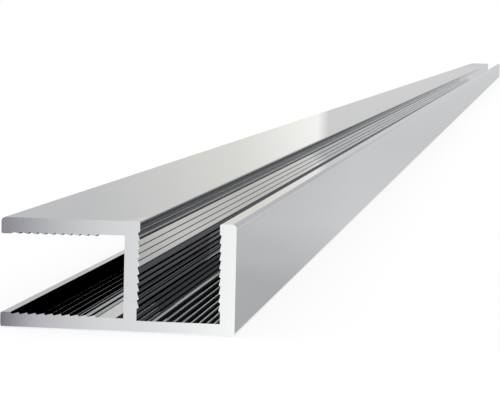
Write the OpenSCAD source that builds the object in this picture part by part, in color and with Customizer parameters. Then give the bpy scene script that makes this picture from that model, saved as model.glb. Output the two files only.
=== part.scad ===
// Aluminium extrusion profile: a straight length of stock with two toothed channels at a right angle.
// X runs across the section, Y along the stock and Z up. The stock lies on its base plate,
// and the origin is under the middle of it. The left channel opens towards -X, the right one towards +Z.
// Each channel takes the edge of a board. Its teeth slope towards the mouth and are steep on the inner side,
// so a board pushes in easily and is held against pulling out.

/* [Stock] */
// Length of the piece
stock_length = 2000; // [100:10:3000]

/* [Walls, measured behind the teeth] */
// Top flange, over the left channel
top_wall = 1.821; // [1.2:0.001:3]
// Base plate under the left channel
base_wall = 1.771; // [1.2:0.001:3]
// Base plate under the right channel
floor_wall = 1.55; // [1:0.05:3]
// Web between the two channels
web_wall = 1.657; // [1.2:0.001:3]
// Outer wall on the right
outer_wall = 1.86; // [1.2:0.001:3]

/* [Left channel] */
// Clear width between the tips of facing teeth
left_gap = 9.9; // [6:0.05:16]
// Depth from the mouth to the web
left_depth = 15.75; // [8:0.05:24]
// Plain lip at the mouth, before the first tooth
left_lip = 1.29; // [0.8:0.01:2.5]
// Distance from tooth to tooth
left_pitch = 1.08; // [0.8:0.01:1.6]
// Shortest stretch without teeth beside the web
left_plain = 3.5; // [0:0.1:6]

/* [Right channel] */
// Clear width between the tips of facing teeth
right_gap = 10.05; // [6:0.05:16]
// Plain lip at the mouth, before the first tooth
right_lip = 1.3; // [0.8:0.01:2.5]
// Distance from tooth to tooth
right_pitch = 1.055; // [0.8:0.005:1.6]
// Shortest stretch without teeth above the floor
right_plain = 1.6; // [0:0.1:4]

/* [Teeth] */
// Height of the teeth in the left channel, over the channel's side
left_tooth = 0.254; // [0.1:0.001:0.5]
// The same on the web, in the right channel
web_tooth = 0.268; // [0.1:0.001:0.5]
// The same on the outer wall
outer_tooth = 0.215; // [0.1:0.001:0.5]
// Flat left on the tip of a tooth
tooth_land = 0.01; // [0.01:0.01:0.2]
// Lean of a tooth's steep side, in degrees from square to the channel's side
tooth_lean = 29; // [0:1:45]

/* [Rounded edges] */
// Free ends of the flange, the base plate and the outer wall, on the outside
end_round = 0.55; // [0.1:0.05:0.8]
// Edges at the mouths of the channels
mouth_round = 0.25; // [0.05:0.05:0.6]
// Outer corner under the outer wall
heel_round = 0.3; // [0.05:0.05:1]

/* [Hidden] */
$fn = 64;

// Channel widths behind the teeth
left_inside = left_gap + 2 * left_tooth;
right_inside = right_gap + web_tooth + outer_tooth;

// Overall section, and the faces of the walls in it, from the left edge and from the base
section_h = base_wall + left_inside + top_wall;
web_left = left_depth;
web_right = web_left + web_wall;
outer_left = web_right + right_inside;
section_w = outer_left + outer_wall;
ceiling = section_h - top_wall;
right_depth = section_h - floor_wall;

// A channel carries as many teeth as fit between its lip and its plain stretch
fit_slack = 0.001;
function tooth_count(depth, lip, plain, pitch) =
    max(0, floor((depth - lip - plain) / pitch + fit_slack));
left_teeth = tooth_count(left_depth, left_lip, left_plain, left_pitch);
right_teeth = tooth_count(right_depth, right_lip, right_plain, right_pitch);

// One toothed side as [distance in from the mouth, height over the side] pairs, from the mouth inwards:
// the lip, a steep drop to the side, then for each tooth a long rise, its land and a steep drop
function toothed_side(lip, pitch, count, height) = let (drop = height * tan(tooth_lean)) concat(
    [[0, height], [lip, height], [lip + drop, 0]],
    [for (k = [1:1:count], p = [[-tooth_land, height], [0, height], [drop, 0]])
        [lip + k * pitch + p[0], p[1]]]);

function reversed(list) = [for (k = [len(list) - 1:-1:0]) list[k]];

left_side = toothed_side(left_lip, left_pitch, left_teeth, left_tooth);
web_side = toothed_side(right_lip, right_pitch, right_teeth, web_tooth);
outer_side = toothed_side(right_lip, right_pitch, right_teeth, outer_tooth);

// The section with sharp edges, anticlockwise from the lower left
outline = concat(
    [[0, 0], [section_w, 0], [section_w, section_h]],
    [for (p = outer_side) [outer_left - p[1], section_h - p[0]]],
    [[outer_left, floor_wall], [web_right, floor_wall]],
    [for (p = reversed(web_side)) [web_right + p[1], section_h - p[0]]],
    [[0, section_h]],
    [for (p = left_side) [p[0], ceiling - p[1]]],
    [[web_left, ceiling], [web_left, base_wall]],
    [for (p = reversed(left_side)) [p[0], base_wall + p[1]]]);

// Each rounded edge: its corner, the way into the metal along X and along Y, and its radius
rounded = [
    [[0, 0], [1, 1], end_round],
    [[0, section_h], [1, -1], end_round],
    [[section_w, section_h], [-1, -1], end_round],
    [[section_w, 0], [-1, 1], heel_round],
    [[0, ceiling - left_tooth], [1, 1], mouth_round],
    [[0, base_wall + left_tooth], [1, -1], mouth_round],
    [[web_right + web_tooth, section_h], [-1, -1], mouth_round],
    [[outer_left - outer_tooth, section_h], [1, -1], mouth_round]];

// What rounding takes off a sharp edge
module edge_cut(corner, inward, r) {
    difference() {
        translate(corner) square(2 * r, center = true);
        translate(corner + r * inward) circle(r);
    }
}

module section() {
    difference() {
        polygon(outline);
        for (e = rounded) edge_cut(e[0], e[1], e[2]);
    }
}

// The one piece: the section drawn out along Y and centred over the origin
module profile() {
    color("#c9ccd0")
        rotate([90, 0, 0])
            linear_extrude(height = stock_length, center = true)
                translate([-section_w / 2, 0]) section();
}

profile();
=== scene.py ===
"""Aluminium extrusion profile: the looks of one length of stock with two toothed channels."""

import math

import bpy
from bpy.props import FloatProperty, FloatVectorProperty, IntProperty, PointerProperty
from mathutils import Matrix, Vector


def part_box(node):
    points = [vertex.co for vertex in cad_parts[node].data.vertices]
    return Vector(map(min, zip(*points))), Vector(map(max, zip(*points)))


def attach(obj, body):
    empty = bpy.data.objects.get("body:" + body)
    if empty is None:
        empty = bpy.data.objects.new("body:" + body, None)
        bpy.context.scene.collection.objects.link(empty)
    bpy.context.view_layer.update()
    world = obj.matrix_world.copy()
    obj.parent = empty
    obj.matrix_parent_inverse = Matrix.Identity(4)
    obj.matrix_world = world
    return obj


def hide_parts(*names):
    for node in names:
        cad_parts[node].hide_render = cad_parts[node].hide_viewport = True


bl_info = {
    "name": "Aluminium Extrusion Profile",
    "version": (1, 0, 0),
    "blender": (4, 5, 0),
    "location": "View3D > Sidebar > Profile",
    "description": "Builds a length of toothed aluminium profile on a plain studio floor",
    "category": "Object",
}

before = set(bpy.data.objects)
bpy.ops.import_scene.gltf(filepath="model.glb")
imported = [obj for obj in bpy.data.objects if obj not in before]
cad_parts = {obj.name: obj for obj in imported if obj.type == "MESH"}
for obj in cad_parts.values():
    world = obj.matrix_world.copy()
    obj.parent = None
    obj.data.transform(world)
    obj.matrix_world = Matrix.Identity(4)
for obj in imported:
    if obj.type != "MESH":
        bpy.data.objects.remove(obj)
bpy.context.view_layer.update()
STOCK_LOW, STOCK_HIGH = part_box("profile")
MM = 0.001

# The sRGB curve: a straight stretch for the darkest values, then a power
SRGB_KNEE = 0.04045
SRGB_SLOPE = 12.92
SRGB_OFFSET = 0.055
SRGB_POWER = 2.4


def linear(hex_colour):
    """A colour written as sRGB hex, as linear red, green and blue."""
    channels = [int(hex_colour[k:k + 2], 16) / 255 for k in (1, 3, 5)]
    return tuple(c / SRGB_SLOPE if c <= SRGB_KNEE else ((c + SRGB_OFFSET) / (1 + SRGB_OFFSET)) ** SRGB_POWER
                 for c in channels)


def size(name, description, millimetres):
    """A length that a user may change, in metres, with its default in millimetres."""
    return FloatProperty(name=name, description=description, default=millimetres * MM,
                         min=0.0, precision=6, subtype="DISTANCE", unit="LENGTH")


def colour(name, description, hex_colour):
    """A colour that a user may change."""
    return FloatVectorProperty(name=name, description=description, default=linear(hex_colour),
                               size=3, min=0.0, max=1.0, subtype="COLOR")


def angle(name, description, degrees):
    """An angle that a user may change."""
    return FloatProperty(name=name, description=description, default=math.radians(degrees),
                         subtype="ANGLE", unit="ROTATION")


def share(name, description, value):
    """A number from 0 to 1 that a user may change."""
    return FloatProperty(name=name, description=description, default=value, min=0.0, max=1.0,
                         subtype="FACTOR")


class ProfileSection(bpy.types.PropertyGroup):
    """Sizes of the extruded section"""

    stock_length: FloatProperty(
        name="Stock length", description="Length of the piece along Y",
        default=STOCK_HIGH.y - STOCK_LOW.y, min=0.01, subtype="DISTANCE", unit="LENGTH")
    top_wall: size("Top flange", "Thickness of the top flange behind its teeth", 1.821)
    base_wall: size("Base plate", "Thickness of the base plate under the left channel", 1.771)
    floor_wall: size("Channel floor", "Thickness of the base plate under the right channel", 1.55)
    web_wall: size("Web", "Thickness of the web behind its teeth", 1.657)
    outer_wall: size("Outer wall", "Thickness of the outer wall behind its teeth", 1.86)
    left_gap: size("Left gap", "Width of the left channel between facing teeth", 9.9)
    left_depth: size("Left depth", "Depth of the left channel from its mouth to the web", 15.75)
    left_lip: size("Left lip", "Plain lip at the mouth of the left channel", 1.29)
    left_pitch: size("Left pitch", "Distance from tooth to tooth in the left channel", 1.08)
    right_gap: size("Right gap", "Width of the right channel between facing teeth", 10.05)
    right_lip: size("Right lip", "Plain lip at the mouth of the right channel", 1.3)
    right_pitch: size("Right pitch", "Distance from tooth to tooth in the right channel", 1.055)
    left_tooth: size("Left tooth height", "Height of the teeth in the left channel", 0.254)
    web_tooth: size("Web tooth height", "Height of the teeth on the web, in the right channel", 0.268)
    outer_tooth: size("Outer tooth height", "Height of the teeth on the outer wall", 0.215)
    tooth_lean: angle("Tooth lean", "Lean of a tooth's steep side from square to the channel's side", 29)
    end_round: size("End rounding", "Radius at the free ends of the flange, plate and wall", 0.55)
    mouth_round: size("Mouth rounding", "Radius at the mouths of the channels", 0.25)
    heel_round: size("Heel rounding", "Radius under the outer wall", 0.3)
    left_teeth: IntProperty(
        name="Left teeth", description="Teeth on each side of the left channel",
        default=10, min=0, subtype="UNSIGNED")
    right_teeth: IntProperty(
        name="Right teeth", description="Teeth on each side of the right channel",
        default=9, min=0, subtype="UNSIGNED")


class ProfileFinish(bpy.types.PropertyGroup):
    """Colours and marks of the metal"""

    skin: colour("Skin", "Bright extruded skin", "#e6e8ea")
    skin_line: colour("Die line colour", "Skin in the die lines", "#e1e3e5")
    flat_tint: colour("Flat-angle tint", "What the skin keeps of its brightness at a flat angle", "#f3f3f3")
    cut: colour("Cut end", "Fresh metal of the sawn ends", "#f7f8f8")
    skin_roughness: share("Skin roughness", "Roughness of the bright skin between its die lines", 0.008)
    line_roughness: share("Die line roughness", "Roughness of the skin in the die lines", 0.018)
    cut_roughness: share("Cut roughness", "Roughness of the sawn ends", 0.15)
    die_line: size("Die line", "Width of a die line along the skin", 0.4)
    saw_mark: size("Saw mark", "Distance from one saw mark to the next on the ends", 0.45)


class ProfileStudio(bpy.types.PropertyGroup):
    """Floor and camera of the stage"""

    floor: colour("Floor", "Pale studio floor", "#fdfdfd")
    camera_place: FloatVectorProperty(
        name="Camera", description="Place of the camera", size=3,
        default=(0.05054, -1.25528, 0.03722), subtype="TRANSLATION", unit="LENGTH")
    camera_azimuth: angle("Azimuth", "Direction of view, to the left of +Y", 7.602)
    camera_drop: angle("Drop", "Direction of view, below the horizon", 4.461)
    camera_roll: angle("Roll", "Turn of the camera about its line of view", 1.298)
    lens: FloatProperty(
        name="Lens", description="Focal length on a 36 mm wide film",
        default=150.87, min=1.0, subtype="DISTANCE_CAMERA", unit="CAMERA")


def new_object(name, data):
    """Puts an object with this data into the scene."""
    made = bpy.data.objects.new(name, data)
    bpy.context.scene.collection.objects.link(made)
    return made


def add_node(tree, kind, settings=None, links=None):
    """Adds a node, sets its properties and its sockets, and links what feeds it."""
    node = tree.nodes.new(kind)
    for key, value in (settings or {}).items():
        if isinstance(key, str) and hasattr(node, key):
            setattr(node, key, value)
        else:
            node.inputs[key].default_value = value
    for key, source in (links or {}).items():
        tree.links.new(source, node.inputs[key])
    return node


def fresh_tree(owner):
    """The emptied node tree of a material or world."""
    owner.use_nodes = True
    owner.node_tree.nodes.clear()
    return owner.node_tree


# The section


def toothed_side(lip, pitch, count, height, lean):
    """One toothed side as (distance in from the mouth, height over the side) pairs, from the mouth inwards.

    The flat left on a tip is a hundredth of a millimetre, too small to see, so the tips are drawn sharp."""
    drop = height * math.tan(lean)
    side = [(0.0, height), (lip, height), (lip + drop, 0.0)]
    for k in range(1, count + 1):
        tip = lip + k * pitch
        side += [(tip, height), (tip + drop, 0.0)]
    return side


def section_corners(section):
    """The section as (x, z, radius) corners, anticlockwise, with x counted from the middle of its width."""
    height = section.base_wall + section.left_gap + 2 * section.left_tooth + section.top_wall
    web_left = section.left_depth
    web_right = web_left + section.web_wall
    outer_left = web_right + section.right_gap + section.web_tooth + section.outer_tooth
    width = outer_left + section.outer_wall
    ceiling = height - section.top_wall
    lean = section.tooth_lean
    left = toothed_side(section.left_lip, section.left_pitch, section.left_teeth, section.left_tooth, lean)
    right_row = (section.right_lip, section.right_pitch, section.right_teeth)
    web = toothed_side(*right_row, section.web_tooth, lean)
    outer = toothed_side(*right_row, section.outer_tooth, lean)

    def mouth_first(points):
        """Points from the mouth inwards as corners, of which only the first is rounded."""
        return [(x, z, section.mouth_round if k == 0 else 0.0) for k, (x, z) in enumerate(points)]

    corners = [
        (0.0, 0.0, section.end_round),
        (width, 0.0, section.heel_round),
        (width, height, section.end_round),
    ]
    corners += mouth_first([(outer_left - rise, height - inward) for inward, rise in outer])
    corners += [(outer_left, section.floor_wall, 0.0), (web_right, section.floor_wall, 0.0)]
    corners += mouth_first([(web_right + rise, height - inward) for inward, rise in web])[::-1]
    corners += [(0.0, height, section.end_round)]
    corners += mouth_first([(inward, ceiling - rise) for inward, rise in left])
    corners += [(web_left, ceiling, 0.0), (web_left, section.base_wall, 0.0)]
    corners += mouth_first([(inward, section.base_wall + rise) for inward, rise in left])[::-1]
    return [(x - width / 2, z, radius) for x, z, radius in corners]


# Straight steps in each rounded edge
ROUND_STEPS = 10


def edge_arc(before, here, after, radius):
    """The points of a rounded edge at a corner, given its neighbours, and the centre of the arc."""
    back = (before - here).normalized()
    ahead = (after - here).normalized()
    half = back.angle(ahead) / 2
    reach = radius / math.tan(half)
    centre = here + (back + ahead).normalized() * (radius / math.sin(half))
    start = here + back * reach - centre
    turn = start.angle_signed(here + ahead * reach - centre)
    turns = [Matrix.Rotation(-turn * step / ROUND_STEPS, 2) for step in range(ROUND_STEPS + 1)]
    return [centre + part @ start for part in turns], centre


def rounded_outline(corners):
    """Points of the section, and for each stretch to the next point the normals at its two ends."""
    count = len(corners)
    places = [Vector(corner[:2]) for corner in corners]
    radii = [corner[2] for corner in corners]
    runs = []
    for k, radius in enumerate(radii):
        if radius == 0.0:
            runs.append(([places[k]], None))
        else:
            runs.append(edge_arc(places[k - 1], places[k], places[(k + 1) % count], radius))
    points, normals = [], []
    for k, (run, centre) in enumerate(runs):
        following = runs[(k + 1) % count][0][0]
        for point, target in zip(run, run[1:] + [following]):
            points.append(point)
            if target is following:
                along = target - point
                flat = Vector((along.y, -along.x)).normalized()
                normals.append((flat, flat))
            else:
                normals.append(((point - centre).normalized(), (target - centre).normalized()))
    return points, normals


# Materials

# How far a die line runs along the stock before it fades, in metres
DIE_LINE_LENGTH = 0.7
# Finer layers in the noise that draws the die lines, and how strong they are
DIE_LINE_LAYERS = 3.0
DIE_LINE_LAYER_STRENGTH = 0.6
# The noise keeps mostly between these two values
NOISE_LOW = 0.35
NOISE_HIGH = 0.65
# Sockets of a Map Range node that works on colours. They go by number,
# since the node's sockets for plain numbers have the same names.
RANGE_VALUE, RANGE_FROM_LOW, RANGE_FROM_HIGH, RANGE_TO_LOW, RANGE_TO_HIGH = range(6, 11)

# The saw blade's radius, and how far its axis lies to the left and below, as shares of that radius
SAW_RADIUS = 175 * MM
SAW_AXIS_LEFT = 0.6
SAW_AXIS_BELOW = 0.8
SAW_MARK_DEPTH = 0.0003 * MM
# How unevenly the saw marks run
SAW_MARK_WOBBLE = 1.5
SAW_WOBBLE_LAYERS = 3.0
SAW_WOBBLE_SCALE = 0.4
# A wave texture of scale 1 repeats after this length
WAVE_PERIOD = 2 * math.pi / 20


def extruded_skin(finish):
    """Extruded aluminium, left bright as it came from a polished die.

    It mirrors what stands round it almost sharply, dims a little where it is seen at a flat angle,
    and carries faint die lines all along its length, a shade darker and duller than the metal between them.
    Real ones are about 0.05 mm wide, too fine to show, so they are drawn as wide as finish.die_line."""
    material = bpy.data.materials.new("aluminium_extruded_bright")
    tree = fresh_tree(material)
    place = add_node(tree, "ShaderNodeTexCoord")
    lines = add_node(tree, "ShaderNodeMapping", {
        "Scale": (1 / finish.die_line, 1 / DIE_LINE_LENGTH, 1 / finish.die_line)},
        {"Vector": place.outputs["Object"]})
    streaks = add_node(tree, "ShaderNodeTexNoise", {
        "Scale": 1.0, "Detail": DIE_LINE_LAYERS, "Roughness": DIE_LINE_LAYER_STRENGTH},
        {"Vector": lines.outputs["Vector"]})
    gloss = add_node(tree, "ShaderNodeMapRange", {
        "From Min": NOISE_LOW, "From Max": NOISE_HIGH,
        "To Min": finish.skin_roughness, "To Max": finish.line_roughness},
        {"Value": streaks.outputs["Fac"]})
    shade = add_node(tree, "ShaderNodeMapRange", {
        "data_type": "FLOAT_VECTOR",
        RANGE_FROM_LOW: (NOISE_LOW,) * 3, RANGE_FROM_HIGH: (NOISE_HIGH,) * 3,
        RANGE_TO_LOW: finish.skin, RANGE_TO_HIGH: finish.skin_line},
        {RANGE_VALUE: streaks.outputs["Fac"]})
    shader = add_node(tree, "ShaderNodeBsdfPrincipled", {
        "Metallic": 1.0, "Specular Tint": (*finish.flat_tint, 1.0)},
        {"Base Color": shade.outputs["Vector"], "Roughness": gloss.outputs["Result"]})
    add_node(tree, "ShaderNodeOutputMaterial", links={"Surface": shader.outputs["BSDF"]})
    return material


def sawn_end(finish):
    """Aluminium cut square with a fine-toothed circular saw.

    The cut is satin: it spreads what it mirrors into soft gradients,
    and the blade leaves shallow arcs on it."""
    material = bpy.data.materials.new("aluminium_saw_cut_satin")
    tree = fresh_tree(material)
    place = add_node(tree, "ShaderNodeTexCoord")
    blade = add_node(tree, "ShaderNodeMapping", {
        "Location": (SAW_AXIS_LEFT * SAW_RADIUS, 0.0, SAW_AXIS_BELOW * SAW_RADIUS)},
        {"Vector": place.outputs["Object"]})
    arcs = add_node(tree, "ShaderNodeTexWave", {
        "wave_type": "RINGS", "rings_direction": "Y", "Scale": WAVE_PERIOD / finish.saw_mark,
        "Distortion": SAW_MARK_WOBBLE, "Detail": SAW_WOBBLE_LAYERS, "Detail Scale": SAW_WOBBLE_SCALE},
        {"Vector": blade.outputs["Vector"]})
    relief = add_node(tree, "ShaderNodeBump", {"Strength": 1.0, "Distance": SAW_MARK_DEPTH},
                      {"Height": arcs.outputs["Fac"]})
    shader = add_node(tree, "ShaderNodeBsdfPrincipled", {
        "Base Color": (*finish.cut, 1.0), "Metallic": 1.0, "Roughness": finish.cut_roughness},
        {"Normal": relief.outputs["Normal"]})
    add_node(tree, "ShaderNodeOutputMaterial", links={"Surface": shader.outputs["BSDF"]})
    return material


class PROFILE_OT_extrusion(bpy.types.Operator):
    """Builds the length of stock: the section drawn out along Y, with sawn ends"""

    bl_idname = "profile.extrusion"
    bl_label = "Extruded profile"

    def execute(self, context):
        section = context.scene.profile_section
        finish = context.scene.profile_finish
        points, normals = rounded_outline(section_corners(section))
        half = section.stock_length / 2
        count = len(points)
        vertices = [(point.x, y, point.y) for y in (-half, half) for point in points]
        faces, corner_normals = [], []
        for k, (first, second) in enumerate(normals):
            following = (k + 1) % count
            faces.append((k, count + k, count + following, following))
            corner_normals += [(first.x, 0, first.y)] * 2 + [(second.x, 0, second.y)] * 2
        near_end = tuple(range(count))
        far_end = tuple(reversed(range(count, 2 * count)))
        faces += [near_end, far_end]
        corner_normals += [(0, -1, 0)] * count + [(0, 1, 0)] * count
        mesh = bpy.data.meshes.new("profile_extrusion")
        mesh.from_pydata(vertices, [], faces)
        mesh.materials.append(extruded_skin(finish))
        mesh.materials.append(sawn_end(finish))
        # The last two faces are the ends, which take the second material
        for end in mesh.polygons[-2:]:
            end.material_index = 1
        mesh.normals_split_custom_set(corner_normals)
        piece = new_object("profile_extrusion", mesh)
        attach(piece, "root")
        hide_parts("profile")
        return {"FINISHED"}


# The stage. Its lengths are in metres unless a name or comment says otherwise.

# From the middle of the floor to each side of it
FLOOR_REACH = 60.0
# How much of the floor is plain white to the camera and in reflections. The rest is lit paint.
FLOOR_GLOW = 0.8
# Mirror paths with more bounces than this end in black, so it stays dark deep between the teeth
MIRROR_BOUNCES = 3

# The soft lamp, and the point that it is turned to
LAMP_WIDTH = 1.5
LAMP_LENGTH = 3.0
LAMP_WATTS = 12.0
LAMP_PLACE = (-1.6, -0.6, 2.2)
LAMP_AIM = (0.0, -0.4, 0.0)

# The camera's film, and how near and how far it sees
FILM_WIDTH_MM = 36.0
NEAREST_SEEN = 0.01
FARTHEST_SEEN = 200.0

# Cards that only reflections see. Those that stand this far behind the stock's middle are given by stops
# from left to right: direction, lower edge and upper edge, in degrees as seen from the camera, and tone.
CARDS_BEHIND = 8.0
CARD_TOP = 8.5
SKY_TOP = 45.0
# A warm strip of light, which fades slowly to the left and within a short way on its right
LIGHT_STRIP = (
    (-40.0, 0.0, CARD_TOP, "#cccdcf"), (-12.0, 0.0, CARD_TOP, "#cdcdce"), (-10.0, 0.0, CARD_TOP, "#d8d8d6"),
    (-8.0, 0.0, CARD_TOP, "#e4e3df"), (-5.8, 0.0, CARD_TOP, "#fffefa"), (-5.5, 0.0, CARD_TOP, "#d5d5d5"))
# A grey wall beside it, which darkens to the right
GREY_WALL = (
    (-5.5, 0.0, CARD_TOP, "#d5d5d5"), (1.0, 0.0, CARD_TOP, "#d2d2d4"), (2.5, 0.0, CARD_TOP, "#b5b5b7"),
    (4.3, 0.0, CARD_TOP, "#848486"), (8.5, 0.0, CARD_TOP, "#777779"), (14.0, 0.0, CARD_TOP, "#3f3f41"))
# A light sky over both
SKY = ((-40.0, CARD_TOP, SKY_TOP, "#d6d6d8"), (40.0, CARD_TOP, SKY_TOP, "#d6d6d8"))
CARDS = (LIGHT_STRIP, GREY_WALL, SKY)

# What hangs a little before those cards: the upper part of the light strip, with a slanting lower edge
FLAGS_BEFORE_CARDS = 0.1
STRIP_TOP = (
    (-12.0, 5.3, CARD_TOP, "#d4d4d3"), (-10.4, 5.0, CARD_TOP, "#e2dfda"), (-9.5, 4.7, CARD_TOP, "#f5f2eb"),
    (-7.5, 3.8, CARD_TOP, "#e7e4dd"), (-5.8, 3.06, CARD_TOP, "#f4f4f0"), (-5.5, 2.92, CARD_TOP, "#d5d5d5"))
# A low flag, which is grey far to the left, then darkest, and fades out to the right
LOW_FLAG = (
    (-40.0, 0.0, 1.35, "#959597"), (-13.2, 0.0, 1.35, "#959597"), (-12.0, 0.0, 1.35, "#5a5a5c"),
    (-7.5, 0.0, 1.04, "#848486"), (-1.0, 0.0, 0.6, "#d4d4d6"))
# Three dark flags in the sky, which darken the teeth of the right channel
SKY_FLAG_LEFT = ((-40.0, CARD_TOP, 12.0, "#505052"), (0.75, CARD_TOP, 12.0, "#505052"))
SKY_FLAG_BLACK = ((2.3, CARD_TOP, 12.6, "#202020"), (4.6, CARD_TOP, 12.6, "#202020"))
SKY_FLAG_RIGHT = ((4.6, CARD_TOP, 10.9, "#6c6c6e"), (40.0, CARD_TOP, 10.9, "#6c6c6e"))
FLAGS = (STRIP_TOP, LOW_FLAG, SKY_FLAG_LEFT, SKY_FLAG_BLACK, SKY_FLAG_RIGHT)

# Lying cards are this high over the floor, and this far off the stock's side
CARD_THICKNESS = 0.2 * MM

# A card that lies before the near end and is turned up at its far side, so that the cut face darkens
# to the left. Its stops are where the camera sees it mirrored on the face, in millimetres from the middle.
END_CARD_REACH = 0.3
END_CARD_HEIGHT = 0.2
END_CARD = (
    (-150.0, "#595959"), (-14.9, "#76777b"), (-10.0, "#bbbcbf"),
    (-2.3, "#dadadc"), (3.7, "#e1e1e3"), (14.9, "#ffffff"))

# A grey glowing card that lies along the outer wall, with a lip that stands beside the wall's top edge
# and folds over it. Its grey is painted shadow: the wall mirrors it in place of the white floor, as the
# floor's shade beside the stock. Its stops are places along Y, with the tone at the wall's foot and the
# tone elsewhere.
SIDE_CARD_WIDTH = 25 * MM
SIDE_SHADOW_CARD = (
    (-1.35, "#babbbd", "#c8c9cb"), (-0.95, "#babbbd", "#c8c9cb"), (-0.91, "#c9cacc", "#c4c5c7"),
    (-0.84, "#d9dadc", "#cccdcf"), (-0.5, "#cecfd1", "#d4d5d7"), (4.0, "#cecfd1", "#d2d3d5"))
LIP_BELOW_TOP = 0.6 * MM
LIP_OVER_TOP = 0.5 * MM
LIP_OFF_WALL = 0.3 * MM
LIP_FOLD = 1.2 * MM

# A dark glowing card that lies along the left channel, from the near end to far behind the stock.
# It is painted shade: the channel mirrors it in place of the white floor, so it stays dark.
LEFT_CARD_WIDTH = 0.2
LEFT_CARD_END = 4.0
LEFT_SHADE_TONE = "#303030"

# A narrow light card close over the flange's right edge, so that most of the rounding there
# is as light as the flange's top
EDGE_CARD_OVER = 0.05 * MM
EDGE_CARD_LEFT = 0.26 * MM
EDGE_CARD_RIGHT = 0.2 * MM
EDGE_CARD_TONE = "#d6d7d9"


def stage_mesh(name, corners, faces, material):
    """A mesh for the stage, linked into the scene and not attached to the profile's body."""
    mesh = bpy.data.meshes.new(name)
    mesh.from_pydata(corners, [], faces)
    mesh.materials.append(material)
    made = new_object(name, mesh)
    return made


def floor_paint(studio):
    """Matt white paint.

    The camera and the metal see it part lit and part as plain white,
    so it stays white far away and still keeps the stock's shadow."""
    material = bpy.data.materials.new("floor_matt_white_paint")
    tree = fresh_tree(material)
    path = add_node(tree, "ShaderNodeLightPath")
    direct = add_node(tree, "ShaderNodeMath", {"operation": "ADD"},
                      {0: path.outputs["Is Camera Ray"], 1: path.outputs["Is Glossy Ray"]})
    seen = add_node(tree, "ShaderNodeMath", {"operation": "ADD", "use_clamp": True},
                    {0: direct.outputs["Value"], 1: path.outputs["Is Transmission Ray"]})
    glow = add_node(tree, "ShaderNodeMath", {"operation": "MULTIPLY", 1: FLOOR_GLOW},
                    {0: seen.outputs["Value"]})
    matt = add_node(tree, "ShaderNodeBsdfDiffuse", {"Color": (*studio.floor, 1.0)})
    white = add_node(tree, "ShaderNodeEmission", {"Strength": 1.0})
    mixed = add_node(tree, "ShaderNodeMixShader", links={
        0: glow.outputs["Value"], 1: matt.outputs["BSDF"], 2: white.outputs["Emission"]})
    add_node(tree, "ShaderNodeOutputMaterial", links={"Surface": mixed.outputs["Shader"]})
    return material


def card_glow():
    """A glowing card, which is no lamp: it shines as bright as the tones written on its mesh, painted light
    and shade that the metal mirrors.
    """
    material = bpy.data.materials.new("studio_card_glowing_painted_tones")
    tree = fresh_tree(material)
    tone = add_node(tree, "ShaderNodeAttribute", {"attribute_name": "tone"})
    light = add_node(tree, "ShaderNodeEmission", {"Strength": 1.0}, {"Color": tone.outputs["Color"]})
    add_node(tree, "ShaderNodeOutputMaterial", links={"Surface": light.outputs["Emission"]})
    return material


# A card is a row of rungs. A rung is its two ends and the tone at each of them.


def standing_card(eye, stops, behind):
    """A card that stands behind the stock."""
    away = behind - eye.y

    def place(azimuth, elevation):
        across = away * math.tan(math.radians(azimuth))
        return (eye.x + across, behind, away * math.tan(math.radians(elevation)))

    return [(place(azimuth, low), place(azimuth, high), tone, tone) for azimuth, low, high, tone in stops]


def end_card(eye):
    """The two parts of the card before the near end: the lying one and the standing one."""
    near = STOCK_LOW.y
    far = near - END_CARD_REACH
    lying, standing = [], []
    for millimetres, tone in END_CARD:
        x = millimetres * MM
        mirrored = x + (x - eye.x) * END_CARD_REACH / (near - eye.y)
        lying.append(((x, near, CARD_THICKNESS), (mirrored, far, CARD_THICKNESS), tone, tone))
        standing.append(((mirrored, far, 0.0), (mirrored, far, END_CARD_HEIGHT), tone, tone))
    return [lying, standing]


def side_shadow_card():
    """The three parts of the painted-shadow card along the outer wall: the lying one, the lip and the lip's
    fold.
    """
    foot = STOCK_HIGH.x + CARD_THICKNESS
    outside = foot + SIDE_CARD_WIDTH
    edge = STOCK_HIGH.x + LIP_OFF_WALL
    low = STOCK_HIGH.z - LIP_BELOW_TOP
    high = STOCK_HIGH.z + LIP_OVER_TOP
    lying, lip, fold = [], [], []
    for y, foot_tone, tone in SIDE_SHADOW_CARD:
        lying.append(((foot, y, CARD_THICKNESS), (outside, y, CARD_THICKNESS), foot_tone, tone))
        lip.append(((edge, y, low), (edge, y, high), tone, tone))
        fold.append(((edge, y, high), (edge - LIP_FOLD, y, high), tone, tone))
    return [lying, lip, fold]


def left_shade_card():
    """The dark card along the left channel: painted shade that the channel mirrors."""
    edge = STOCK_LOW.x - CARD_THICKNESS
    outside = edge - LEFT_CARD_WIDTH
    return [((edge, y, CARD_THICKNESS), (outside, y, CARD_THICKNESS), LEFT_SHADE_TONE, LEFT_SHADE_TONE)
            for y in (STOCK_LOW.y, LEFT_CARD_END)]


def edge_card(section):
    """The card over the flange's right edge."""
    edge = STOCK_LOW.x + section.left_depth + section.web_wall + section.web_tooth
    left = edge - EDGE_CARD_LEFT
    right = edge + EDGE_CARD_RIGHT
    over = STOCK_HIGH.z + EDGE_CARD_OVER
    return [((left, y, over), (right, y, over), EDGE_CARD_TONE, EDGE_CARD_TONE)
            for y in (STOCK_LOW.y, STOCK_HIGH.y)]


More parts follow.
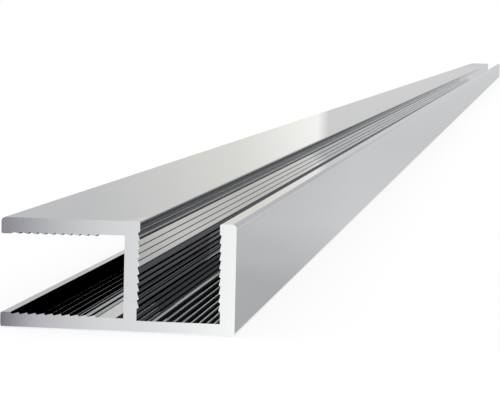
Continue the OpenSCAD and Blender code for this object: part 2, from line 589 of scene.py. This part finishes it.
def lay_cards(studio, section):
    """One mesh of all the cards, with a quad from each rung to the next, which only reflections see."""
    eye = Vector(studio.camera_place)
    cards = [standing_card(eye, stops, CARDS_BEHIND) for stops in CARDS]
    cards += [standing_card(eye, stops, CARDS_BEHIND - FLAGS_BEFORE_CARDS) for stops in FLAGS]
    cards += end_card(eye) + side_shadow_card() + [left_shade_card(), edge_card(section)]
    corners, tones = [], []
    for rungs in cards:
        for rung, following in zip(rungs, rungs[1:]):
            corners += [rung[0], following[0], following[1], rung[1]]
            tones += [rung[2], following[2], following[3], rung[3]]
    faces = [tuple(range(k, k + 4)) for k in range(0, len(corners), 4)]
    made = stage_mesh("studio_cards", corners, faces, card_glow())
    painted = made.data.attributes.new("tone", "FLOAT_COLOR", "POINT")
    painted.data.foreach_set("color", [value for tone in tones for value in (*linear(tone), 1.0)])
    made.visible_camera = False
    made.visible_diffuse = False
    made.visible_shadow = False


def lay_floor(studio):
    """A square floor that reaches past all that is in view."""
    reach = FLOOR_REACH
    corners = [(-reach, -reach, 0), (reach, -reach, 0), (reach, reach, 0), (-reach, reach, 0)]
    stage_mesh("studio_floor", corners, [(0, 1, 2, 3)], floor_paint(studio))


def light_world(scene):
    """A plain white world all round."""
    world = bpy.data.worlds.new("studio_white")
    scene.world = world
    tree = fresh_tree(world)
    white = add_node(tree, "ShaderNodeBackground", {"Color": (*linear("#ffffff"), 1.0), "Strength": 1.0})
    add_node(tree, "ShaderNodeOutputWorld", links={"Surface": white.outputs["Background"]})


def hang_softbox():
    """A soft lamp up on the left, which the camera doesn't see."""
    lamp = bpy.data.lights.new("softbox_left", "AREA")
    lamp.shape = "RECTANGLE"
    lamp.size = LAMP_WIDTH
    lamp.size_y = LAMP_LENGTH
    lamp.energy = LAMP_WATTS
    softbox = new_object("softbox_left", lamp)
    softbox.location = LAMP_PLACE
    softbox.rotation_euler = (Vector(LAMP_AIM) - softbox.location).to_track_quat("-Z", "Y").to_euler()
    softbox.visible_camera = False


def aim_camera(scene, studio):
    """The camera, which looks along the stock from before its near end and a little above it."""
    lens = bpy.data.cameras.new("camera")
    lens.lens = studio.lens
    lens.sensor_width = FILM_WIDTH_MM
    lens.clip_start = NEAREST_SEEN
    lens.clip_end = FARTHEST_SEEN
    camera = new_object("camera", lens)
    azimuth = studio.camera_azimuth
    drop = studio.camera_drop
    level = math.cos(drop)
    view = Vector((-math.sin(azimuth) * level, math.cos(azimuth) * level, -math.sin(drop)))
    turn = view.to_track_quat("-Z", "Y").to_matrix() @ Matrix.Rotation(studio.camera_roll, 3, "Z")
    camera.matrix_world = Matrix.Translation(studio.camera_place) @ turn.to_4x4()
    scene.camera = camera


class PROFILE_OT_stage(bpy.types.Operator):
    """Sets the world, the floor, the cards, the lamp and the camera"""

    bl_idname = "profile.stage"
    bl_label = "Studio stage"

    def execute(self, context):
        scene = context.scene
        scene.view_settings.view_transform = "Standard"
        scene.cycles.glossy_bounces = MIRROR_BOUNCES
        light_world(scene)
        lay_floor(scene.profile_studio)
        lay_cards(scene.profile_studio, scene.profile_section)
        hang_softbox()
        aim_camera(scene, scene.profile_studio)
        return {"FINISHED"}


class VIEW3D_PT_profile(bpy.types.Panel):
    """Lists the sizes, colours and builders of the profile"""

    bl_label = "Aluminium profile"
    bl_space_type = "VIEW_3D"
    bl_region_type = "UI"
    bl_category = "Profile"

    def draw(self, context):
        for group_name, group in GROUPS.items():
            for name in group.__annotations__:
                self.layout.prop(getattr(context.scene, group_name), name)
        for operator in (PROFILE_OT_extrusion, PROFILE_OT_stage):
            self.layout.operator(operator.bl_idname)


GROUPS = {
    "profile_section": ProfileSection,
    "profile_finish": ProfileFinish,
    "profile_studio": ProfileStudio,
}
CLASSES = (*GROUPS.values(), PROFILE_OT_extrusion, PROFILE_OT_stage, VIEW3D_PT_profile)


def register():
    for made in CLASSES:
        bpy.utils.register_class(made)
    for name, group in GROUPS.items():
        setattr(bpy.types.Scene, name, PointerProperty(type=group))


def unregister():
    for name in GROUPS:
        delattr(bpy.types.Scene, name)
    for made in reversed(CLASSES):
        bpy.utils.unregister_class(made)


def main():
    register()
    bpy.ops.profile.extrusion()
    bpy.ops.profile.stage()


if __name__ == "__main__":
    main()
